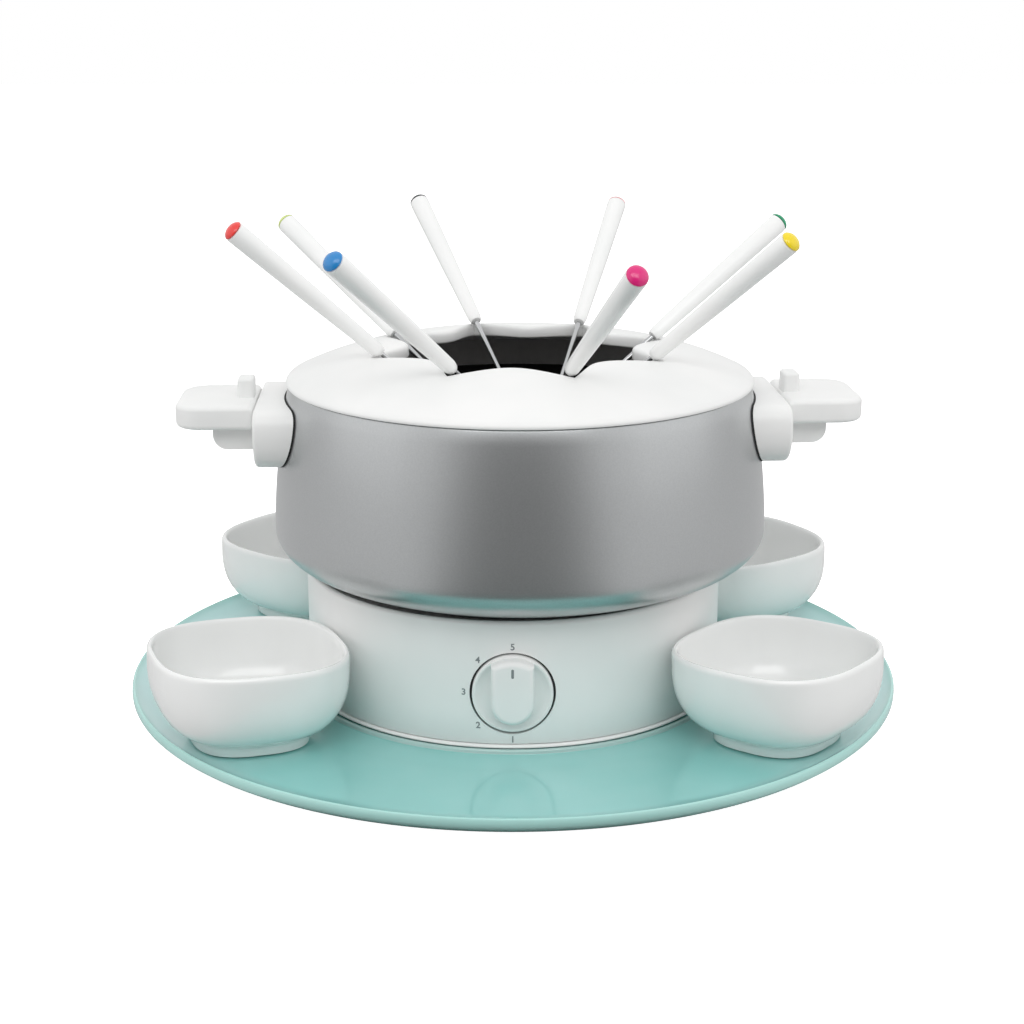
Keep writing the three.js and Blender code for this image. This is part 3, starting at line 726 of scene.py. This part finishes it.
def make_dial_cup():
    # The dark well round the knob: a shallow cup whose rim shows as a thin ring.
    back, floor, front = 84.4, 85.9, 92.4
    outline = [
        (3.5, back), (KNOB_RADIUS + 0.75, back), (KNOB_RADIUS + 0.75, front - 0.2),
        (KNOB_RADIUS + 0.6, front), (KNOB_RADIUS + 0.4, front),
        (KNOB_RADIUS + 0.3, front - 0.2), (KNOB_RADIUS + 0.3, floor), (3.5, floor), (3.5, back),
    ]
    cup = put(lathe("dial_well", outline, 128), shift(z=DIAL_HEIGHT), TO_FRONT)
    fit_out(smooth(cup), "base", "dial_cup", BLACK_PLASTIC)


def make_knob():
    r = KNOB_RADIUS
    back = 86.2
    face = KNOB_FACE
    dish = face - 2.2
    outline = [
        (3.3, back), (r - 0.3, back), (r, back + 0.3), (r, face - 0.5), (r - 0.15, face - 0.15),
        (r - 0.5, face), (r - 1.1, face), (r - 1.5, face - 0.2), (r - 2.6, face - 1.3),
        (r - 4.2, dish + 0.25), (r - 6.5, dish), (3.3, dish), (3.3, back),
    ]
    knob = lathe("knob_body", outline, 128)
    # The grip: straight sides from the disc's upper edge to a round lower end.
    half = GRIP_HALF_WIDTH
    reach = r - 0.9
    top = math.degrees(math.asin(half / reach))
    lower = arc(0, -3, half, 180, 360, 24)
    upper = arc(0, 0, reach, 90 - top, 90 + top, 12)
    root = back + 4
    outline = [(x, y, root) for x, y in lower + upper]
    grip = slab("knob_grip", outline, (0, 0, KNOB_FRONT - root))
    bevel(grip, lambda a, b: same(a, b, 2, KNOB_FRONT), 2.4, 7)
    combine(knob, grip, "UNION")
    bore = cylinder("bore", 3.3, back - 1, 90.7, 32)
    combine(knob, bore, "DIFFERENCE")
    put(knob, shift(z=DIAL_HEIGHT), TO_FRONT)
    fit_out(smooth(knob, 38), "knob", "control_knob", WHITE_PLASTIC)

    # The pointer: a printed bar near the grip's upper end, a hair proud of it.
    mark = bar("knob_pointer", (-0.55, 9.2, KNOB_FRONT - 0.3), (0.55, 13.2, KNOB_FRONT + 0.05))
    bevel(mark, lambda a, b: abs(a.z - b.z) > 0.01, 0.5, 5)
    put(mark, shift(z=DIAL_HEIGHT), TO_FRONT)
    fit_out(smooth(mark), "knob", None, PRINT_INK)


NUMBER_RADIUS = 20.5
NUMBER_HEIGHT = 2.8
FONT_HEIGHT_SHARE = 1.4  # a font's size over the height of its figures
INK = 0.04  # half the thickness of the print
# Number: its angle round the dial, in degrees anticlockwise from the right.
DIAL_NUMBERS = {"5": 90, "4": 135, "3": 180, "2": 225, "1": 270}


def make_dial_numbers():
    """Figures 1 to 5 printed round the dial, each turned to face out flat against the round wall.
    """
    for figure, angle in DIAL_NUMBERS.items():
        clear_selection()
        bpy.ops.object.text_add()
        number = bpy.context.object
        number.data.body = figure
        number.data.align_x = "CENTER"
        number.data.align_y = "CENTER"
        number.data.size = NUMBER_HEIGHT * FONT_HEIGHT_SHARE * MM
        number.data.extrude = INK * MM
        number.data.offset = 0.08 * MM
        bpy.ops.object.convert(target="MESH")
        number = bpy.context.object
        number.name = f"dial_figure_{figure}"
        across = NUMBER_RADIUS * math.cos(math.radians(angle))
        up = NUMBER_RADIUS * math.sin(math.radians(angle))
        put(number, turn(math.asin(across / BASE_RADIUS)),
            shift(0, -(BASE_RADIUS + 0.03), DIAL_HEIGHT + up), TO_FRONT)
        fit_out(number, "base", None, PRINT_INK)


# ---------------------------------------------------------------- pot


def pot_side(out, up, corner_steps=18, wall_steps=10):
    """The pot's side from its flat bottom to its rim, moved outwards and up."""
    side = []
    belly = POT_BELLY_RADIUS + out
    for i in range(corner_steps + 1):
        t = i / corner_steps * math.pi / 2
        spread = math.sin(t) ** (2 / POT_CORNER)
        drop = max(0.0, math.cos(t)) ** (2 / POT_CORNER)
        side.append((POT_FLAT_RADIUS + (belly - POT_FLAT_RADIUS) * spread,
                     POT_BELLY_HEIGHT - (POT_BELLY_HEIGHT - POT_BOTTOM - up) * drop))
    for i in range(1, wall_steps + 1):
        s = i / wall_steps
        r = POT_BELLY_RADIUS - (POT_BELLY_RADIUS - POT_RIM_RADIUS) * s ** POT_TAPER
        side.append((r + out, POT_BELLY_HEIGHT + s * (POT_RIM_HEIGHT - POT_BELLY_HEIGHT)))
    return side


def pot_blank(name, out):
    """The pot's outer form as a solid, grown outwards, for seats and cuts."""
    return lathe(name, [(0, POT_BOTTOM), *pot_side(out, 0, 12, 8), (0, POT_RIM_HEIGHT)], 192)


POT_PLACE = (shift(POT_SHIFT), turn(POT_TURN))


def make_pot():
    outside = pot_side(0, 0)
    inside = pot_side(-POT_WALL, POT_FLOOR)[::-1]
    outline = [
        (0, POT_BOTTOM), *outside[:-1], (POT_RIM_RADIUS, POT_RIM_HEIGHT - 0.7),
        (POT_RIM_RADIUS - 0.3, POT_RIM_HEIGHT - 0.15), (POT_RIM_RADIUS - 0.7, POT_RIM_HEIGHT),
        (POT_RIM_RADIUS - 1.5, POT_RIM_HEIGHT), (POT_RIM_RADIUS - 1.95, POT_RIM_HEIGHT - 0.2),
        *inside[1:], (0, POT_BOTTOM + POT_FLOOR),
    ]
    pot = put(smooth(lathe("pot_pan", outline, 256), 35), *POT_PLACE)
    # Marks every face that looks inwards; the finish lines them up to the coating line.
    lined = pot.data.attributes.new("lined", "FLOAT", "POINT")
    axis = Vector((POT_SHIFT * MM, 0, 0))
    for i, vertex in enumerate(pot.data.vertices):
        radial = Vector((vertex.co.x - axis.x, vertex.co.y, 0))
        height = vertex.co.z / MM
        outer = next((r for r, z in outside if z >= height - 0.01), POT_RIM_RADIUS)
        on_floor = height > POT_BOTTOM + 1 and radial.length / MM < POT_FLAT_RADIUS
        lined.data[i].value = 1.0 if on_floor or radial.length / MM < outer - 1.2 else 0.0
    fit_out(pot, "pot", "pot_body", POT_COATING)


def bracket_outline(grow):
    """The bracket's outline against the pot, drawn in its own Y and Z."""
    right = [
        (21.6 + grow, 113 - grow), (28.6 + grow * 0.9, 114.6 - grow * 0.7), (34.2 + grow, 118),
        (37.5 + grow, 123), (38.8 + grow, 128.6), (38.6 + grow, 133), (37.6 + grow, 136.8),
        (35 + grow * 0.7, 139.6 + grow * 0.7), (29.6, 141 + grow),
    ]
    return right + [(-y, z) for y, z in reversed(right)]


def smooth_outline(points, rounds=2):
    """Cuts each corner of a closed outline twice over, as a curve drawn through it would."""
    for _ in range(rounds):
        cut = []
        for (ax, az), (bx, bz) in zip(points, points[1:] + points[:1]):
            cut.append((ax * 0.75 + bx * 0.25, az * 0.75 + bz * 0.25))
            cut.append((ax * 0.25 + bx * 0.75, az * 0.25 + bz * 0.75))
        points = cut
    return points


BRACKET_FACE = 117
BRACKET_BACK = 85
CLEARANCE = 0.1
GASKET = 0.6
GASKET_LIP = 0.1
GRIP_START = 117.3
GRIP_END = 152.2
GRIP_TOP = 141
LUG_TOP = 149.4
GRIP_BOTTOM = 130.3
GRIP_HALF = 25
GUARD_END = 136
GUARD_BOTTOM = 120
GUARD_HALF = 17
HANDLE_SCREW = 125


def make_bracket():
    outline = [(BRACKET_BACK, y, z) for y, z in smooth_outline(bracket_outline(0))]
    bracket = slab("bracket", outline, (BRACKET_FACE - BRACKET_BACK, 0, 0))
    bevel(bracket, lambda a, b: same(a, b, 0, BRACKET_FACE), 1.8, 5)
    seat = pot_blank("seat", CLEARANCE + GASKET + CLEARANCE)
    return smooth(combine(bracket, seat, "DIFFERENCE"), 35)


def make_gasket():
    outline = [(BRACKET_BACK, y, z) for y, z in smooth_outline(bracket_outline(GASKET_LIP))]
    gasket = slab("gasket", outline, (27, 0, 0))
    combine(gasket, pot_blank("padded", CLEARANCE + GASKET), "INTERSECT")
    return smooth(combine(gasket, pot_blank("wall", CLEARANCE), "DIFFERENCE"), 35)


def make_grip():
    grip = bar("grip", (GRIP_START, -GRIP_HALF, GRIP_BOTTOM), (GRIP_END, GRIP_HALF, GRIP_TOP))
    bevel(grip, lambda a, b: same(a, b, 0, GRIP_END) and abs(a.z - b.z) > 1, 12, 14)
    bevel(grip, lambda a, b: same(a, b, 0, GRIP_START) and abs(a.z - b.z) > 1, 2.5, 6)
    bevel(grip, lambda a, b: same(a, b, 2, GRIP_TOP), 3.2, 7)
    bevel(grip, lambda a, b: same(a, b, 2, GRIP_BOTTOM), 2.2, 5)
    lug = bar("lug", (118.3, -6, GRIP_TOP - 1), (125.7, 6, LUG_TOP))
    bevel(lug, lambda a, b: abs(a.z - b.z) > 1, 1.5, 5)
    bevel(lug, lambda a, b: same(a, b, 2, LUG_TOP), 1.8, 6)
    return smooth(combine(weld(grip), weld(lug), "UNION"), 35)


def make_guard():
    low = (GRIP_START, -GUARD_HALF, GUARD_BOTTOM)
    guard = bar("guard", low, (GUARD_END, GUARD_HALF, GRIP_BOTTOM - REST_GAP))
    bevel(guard, lambda a, b: same(a, b, 0, GUARD_END) and same(a, b, 2, GUARD_BOTTOM), 6.5, 10)
    bevel(guard, lambda a, b: abs(a.x - b.x) < 0.01 and abs(a.z - b.z) > 1 and a.x > 130, 3, 6)
    recess = put(cylinder("recess", 4, 118, 122.5, 40), shift(HANDLE_SCREW))
    return smooth(combine(guard, recess, "DIFFERENCE"), 35)


def make_handles():
    makers = {
        "handle_gasket": (make_gasket(), "black_silicone", BLACK_SILICONE),
        "handle_bracket": (make_bracket(), "white_plastic", WHITE_PLASTIC),
        "handle_grip": (make_grip(), "white_plastic", WHITE_PLASTIC),
        "finger_guard": (make_guard(), "white_plastic", WHITE_PLASTIC),
    }
    for side, angle in (("right", 0.0), ("left", math.pi)):
        for name, (pattern, slot, material) in makers.items():
            piece = put(twin(pattern, f"{side}_{name}_body"), *POT_PLACE, turn(angle))
            fit_out(piece, "pot", f"{side}_{name}", material)
    for pattern, _, _ in makers.values():
        bpy.data.objects.remove(pattern)


# ---------------------------------------------------------------- fork ring


def dome_height(r):
    s = (r - LOBE_RADIUS) / (RING_RADIUS - LOBE_RADIUS)
    return RING_CROWN - RING_DROP * s * s


def opening_radius(angle):
    """Eight lobes bulge inwards and meet in sharp notches."""
    lobe = abs(math.cos(angle * FORK_COUNT / 2))
    return LOBE_RADIUS + (NOTCH_RADIUS - LOBE_RADIUS) * (1 - lobe)


def make_ring():
    r = RING_RADIUS
    lobe = LOBE_RADIUS
    top_radii = [103.4, 101, 98, 95, 92, 88, 84, 80, 76, 72, 68, 64, 60, 56, 53.5]
    under_radii = [52.4, 58, 64, 70, 76, 84, 92, 96.4]
    outline = [
        (lobe + 0.9, RING_CROWN - 6), (lobe + 1.6, RING_CROWN - 6), (lobe + 2, RING_CROWN - 5.6),
        *[(x, dome_height(x) - 2.6) for x in under_radii],
        (98.6, RING_REST), (r - 0.6, RING_REST), (r - 0.15, RING_REST + 0.2),
        (r, RING_REST + 0.7), (r - 0.1, RING_REST + 1.3), (r - 0.4, RING_REST + 1.75),
        *[(x, dome_height(x)) for x in top_radii],
        (lobe + 2.2, RING_CROWN - 0.05), (lobe + 1.3, RING_CROWN - 0.3),
        (lobe + 0.5, RING_CROWN - 0.9), (lobe + 0.1, RING_CROWN - 1.7), (lobe, RING_CROWN - 2.6),
        (lobe, RING_CROWN - 5.2), (lobe + 0.3, RING_CROWN - 5.7), (lobe + 0.9, RING_CROWN - 6),
    ]
    ring = lathe("fork_rest_ring", outline, 384)
    # The opening is pressed from a circle into its lobes; the outer rim stays round.
    for vertex in ring.data.vertices:
        x, y, z = vertex.co / MM
        radius = math.hypot(x, y)
        share = (RING_FIXED_RADIUS - radius) / (RING_FIXED_RADIUS - LOBE_RADIUS)
        if share > 0:
            moved = radius + share * (opening_radius(math.atan2(y, x)) - LOBE_RADIUS)
            lift = dome_height(moved) - dome_height(radius)
            vertex.co = Vector((x * moved / radius, y * moved / radius, z + lift)) * MM
    # Four tabs under the ring keep it centred in the pot's rim: each bar cuts out two of them.
    low, high = TAB_HEIGHTS
    inner, outer = TAB_RADII
    section = [(inner, low), (outer, low), (outer, high), (inner, high), (inner, low)]
    for angle in TAB_ANGLES:
        rail = lathe("rail", section, 192)
        across = bar("bar", (-r, -TAB_HALF_WIDTH, 140), (r, TAB_HALF_WIDTH, 152))
        combine(rail, put(across, turn(math.radians(angle))), "INTERSECT")
        combine(ring, rail, "UNION")
    put(smooth(ring, 35), shift(POT_SHIFT), turn(RING_TURN))
    fit_out(ring, "ring", "fork_ring", WHITE_PLASTIC)


# ---------------------------------------------------------------- forks


def make_fork_handle():
    r0, r1 = 2.7, 4.7
    outline = [
        (0, 0), (r0 - 0.9, 0), (r0 - 0.3, 0.2), (r0, 0.7), (3.2, 3), (3.4, 12), (3.7, 26),
        (4, 40), (4.35, 62), (r1 - 0.05, HANDLE_LENGTH - 1), (r1 - 0.2, HANDLE_LENGTH - 0.2),
        (r1 - 0.5, HANDLE_LENGTH), (0, HANDLE_LENGTH),
    ]
    return smooth(lathe("fork_handle", outline, 48), 40)


def make_fork_cap():
    low = HANDLE_LENGTH + 0.3
    outline = [
        (0, low), (4.3, low), (4.5, low + 0.2), (4.35, low + 0.65), (3.85, low + 1.25),
        (3.2, low + 1.8), (2.3, low + 2.25), (1.2, low + 2.5), (0, low + 2.6),
    ]
    return smooth(lathe("fork_cap", outline, 48), 50)


def make_fork_shank():
    half, wire, tip = 3.2, 1.3, -HEAD_LENGTH
    left = [
        (-1.1, 1), (-1.1, 0), (-1.35, -1.6), (-2, -3.4), (-2.9, -5), (-half, -6.6),
        (-half, tip + 4), (-half + 0.15, tip + 1.6), (-half + 0.45, tip),
        (-half + 0.75, tip + 1.2), (-half + wire, tip + 3), (-half + wire, -8),
        (-half + 1.7, -7.1), (-0.8, -6.5), (0, -6.3),
    ]
    outline = left + [(-x, z) for x, z in reversed(left[:-1])]
    top = 0.5 - SHANK_LENGTH
    head = slab("head", [(x, -wire / 2, z + top) for x, z in outline], (0, wire, 0))
    bevel(head, lambda a, b: same(a, b, 1, -wire / 2) or same(a, b, 1, wire / 2), 0.22, 2)
    rod = [(0, -SHANK_LENGTH - 2.5), (0.7, -SHANK_LENGTH - 2.2), (1.1, -SHANK_LENGTH), (1.1, -60),
           (1.1, -0.3), (0, -0.3)]
    shank = lathe("fork_shank", rod, 32)
    return smooth(combine(shank, head, "UNION"), 40)


def make_forks():
    handle, cap, shank = make_fork_handle(), make_fork_cap(), make_fork_shank()
    for name, (at, lean, aside, _) in FORKS.items():
        bearing = math.radians(at) + RING_TURN
        seat_x = POT_SHIFT + SEAT_RADIUS * math.cos(bearing)
        seat_y = SEAT_RADIUS * math.sin(bearing)
        place = (
            shift(seat_x, seat_y, SEAT_HEIGHT),
            turn(bearing + math.radians(aside)),
            turn(math.radians(90 - lean), "Y"),
        )
        body = f"fork_{name}"
        for part, pattern, slot, material in (
                ("shank", shank, "steel", STAINLESS),
                ("handle", handle, "white_plastic", HANDLE_PLASTIC),
                ("cap", cap, f"cap_{name}", CAPS[name])):
            piece = put(twin(pattern, f"{body}_{part}_body"), *place)
            fit_out(piece, body, f"{body}_{part}", material)
    for pattern in (handle, cap, shank):
        bpy.data.objects.remove(pattern)


# ---------------------------------------------------------------- bowls


def square_off(piece, exponent):
    """Presses a round form outwards into a rounded square."""
    for vertex in piece.data.vertices:
        x, y, z = vertex.co
        radius = math.hypot(x, y)
        if radius > 1e-6:
            total = abs(x / radius) ** exponent + abs(y / radius) ** exponent
            stretch = total ** (-1 / exponent)
            vertex.co = (x * stretch, y * stretch, z)


def make_bowls():
    a = BOWL_HALF
    h = BOWL_HEIGHT
    outline = [
        (0, 3.4), (18.4, 3.4), (19.3, 3), (19.9, 2), (20.6, 0.5), (21.2, 0), (24.2, 0),
        (24.8, 0.3), (25, 0.9), (24.9, 3), (25, 4.1), (25.6, 4.9), (27, 5.6), (30, 7), (33, 9.3),
        (35.5, 12), (37.5, 15.2), (39, 18.5), (40.1, 22.4), (40.7, 26.2), (a, 30), (a, 34),
        (a, 37.4), (a - 0.1, 38.6), (a - 0.5, 39.5), (a - 1.1, h), (a - 1.7, h - 0.1),
        (a - 2.2, 39.3), (a - 2.5, 38), (a - 2.6, 36), (a - 2.8, 30), (a - 3.4, 25), (a - 4.4, 20),
        (a - 6.2, 16), (a - 9.5, 12), (27, 9.6), (22, 8), (14, 7.1), (0, 6.8),
    ]
    bowl = lathe("bowl", outline, 160)
    square_off(bowl, BOWL_SQUARENESS)
    smooth(bowl, 45)
    for name, (at, twist) in BOWLS.items():
        bearing = math.radians(at)
        piece = put(
            twin(bowl, f"{name}_body"),
            shift(BOWL_DISTANCE * math.cos(bearing), BOWL_DISTANCE * math.sin(bearing),
                  tray_height(BOWL_DISTANCE) + 0.5),
            turn(bearing), turn(-BOWL_TILT, "Y"), turn(math.radians(twist)))
        fit_out(piece, name, name, PORCELAIN)
    bpy.data.objects.remove(bowl)


# ---------------------------------------------------------------- the CAD nodes that stay


def finish_frame_nodes():
    kept = {
        "heating_plate": CAST_ALUMINIUM,
        "heating_element": STAINLESS,
        "thermostat_body": CAST_ALUMINIUM,
        "thermostat_shaft": BRASS,
        "inlet_socket": BLACK_PLASTIC,
        "inlet_pin_line": BRASS,
        "inlet_pin_earth": BRASS,
        "inlet_pin_neutral": BRASS,
        "right_handle_screw": STAINLESS,
        "left_handle_screw": STAINLESS,
        **{f"cover_screw_{i}": STAINLESS for i in (1, 2, 3)},
        **{f"base_foot_{i}": BLACK_SILICONE for i in (1, 2, 3)},
    }
    for name, material in kept.items():
        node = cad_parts[name]
        for slot in node.material_slots:
            slot.material = material


# ---------------------------------------------------------------- the set

set_stage()
make_tray()
make_base_shell()
make_bottom_cover()
make_dial_cup()
make_knob()
make_dial_numbers()
make_pot()
make_handles()
make_ring()
make_forks()
make_bowls()
finish_frame_nodes()

clear_selection()
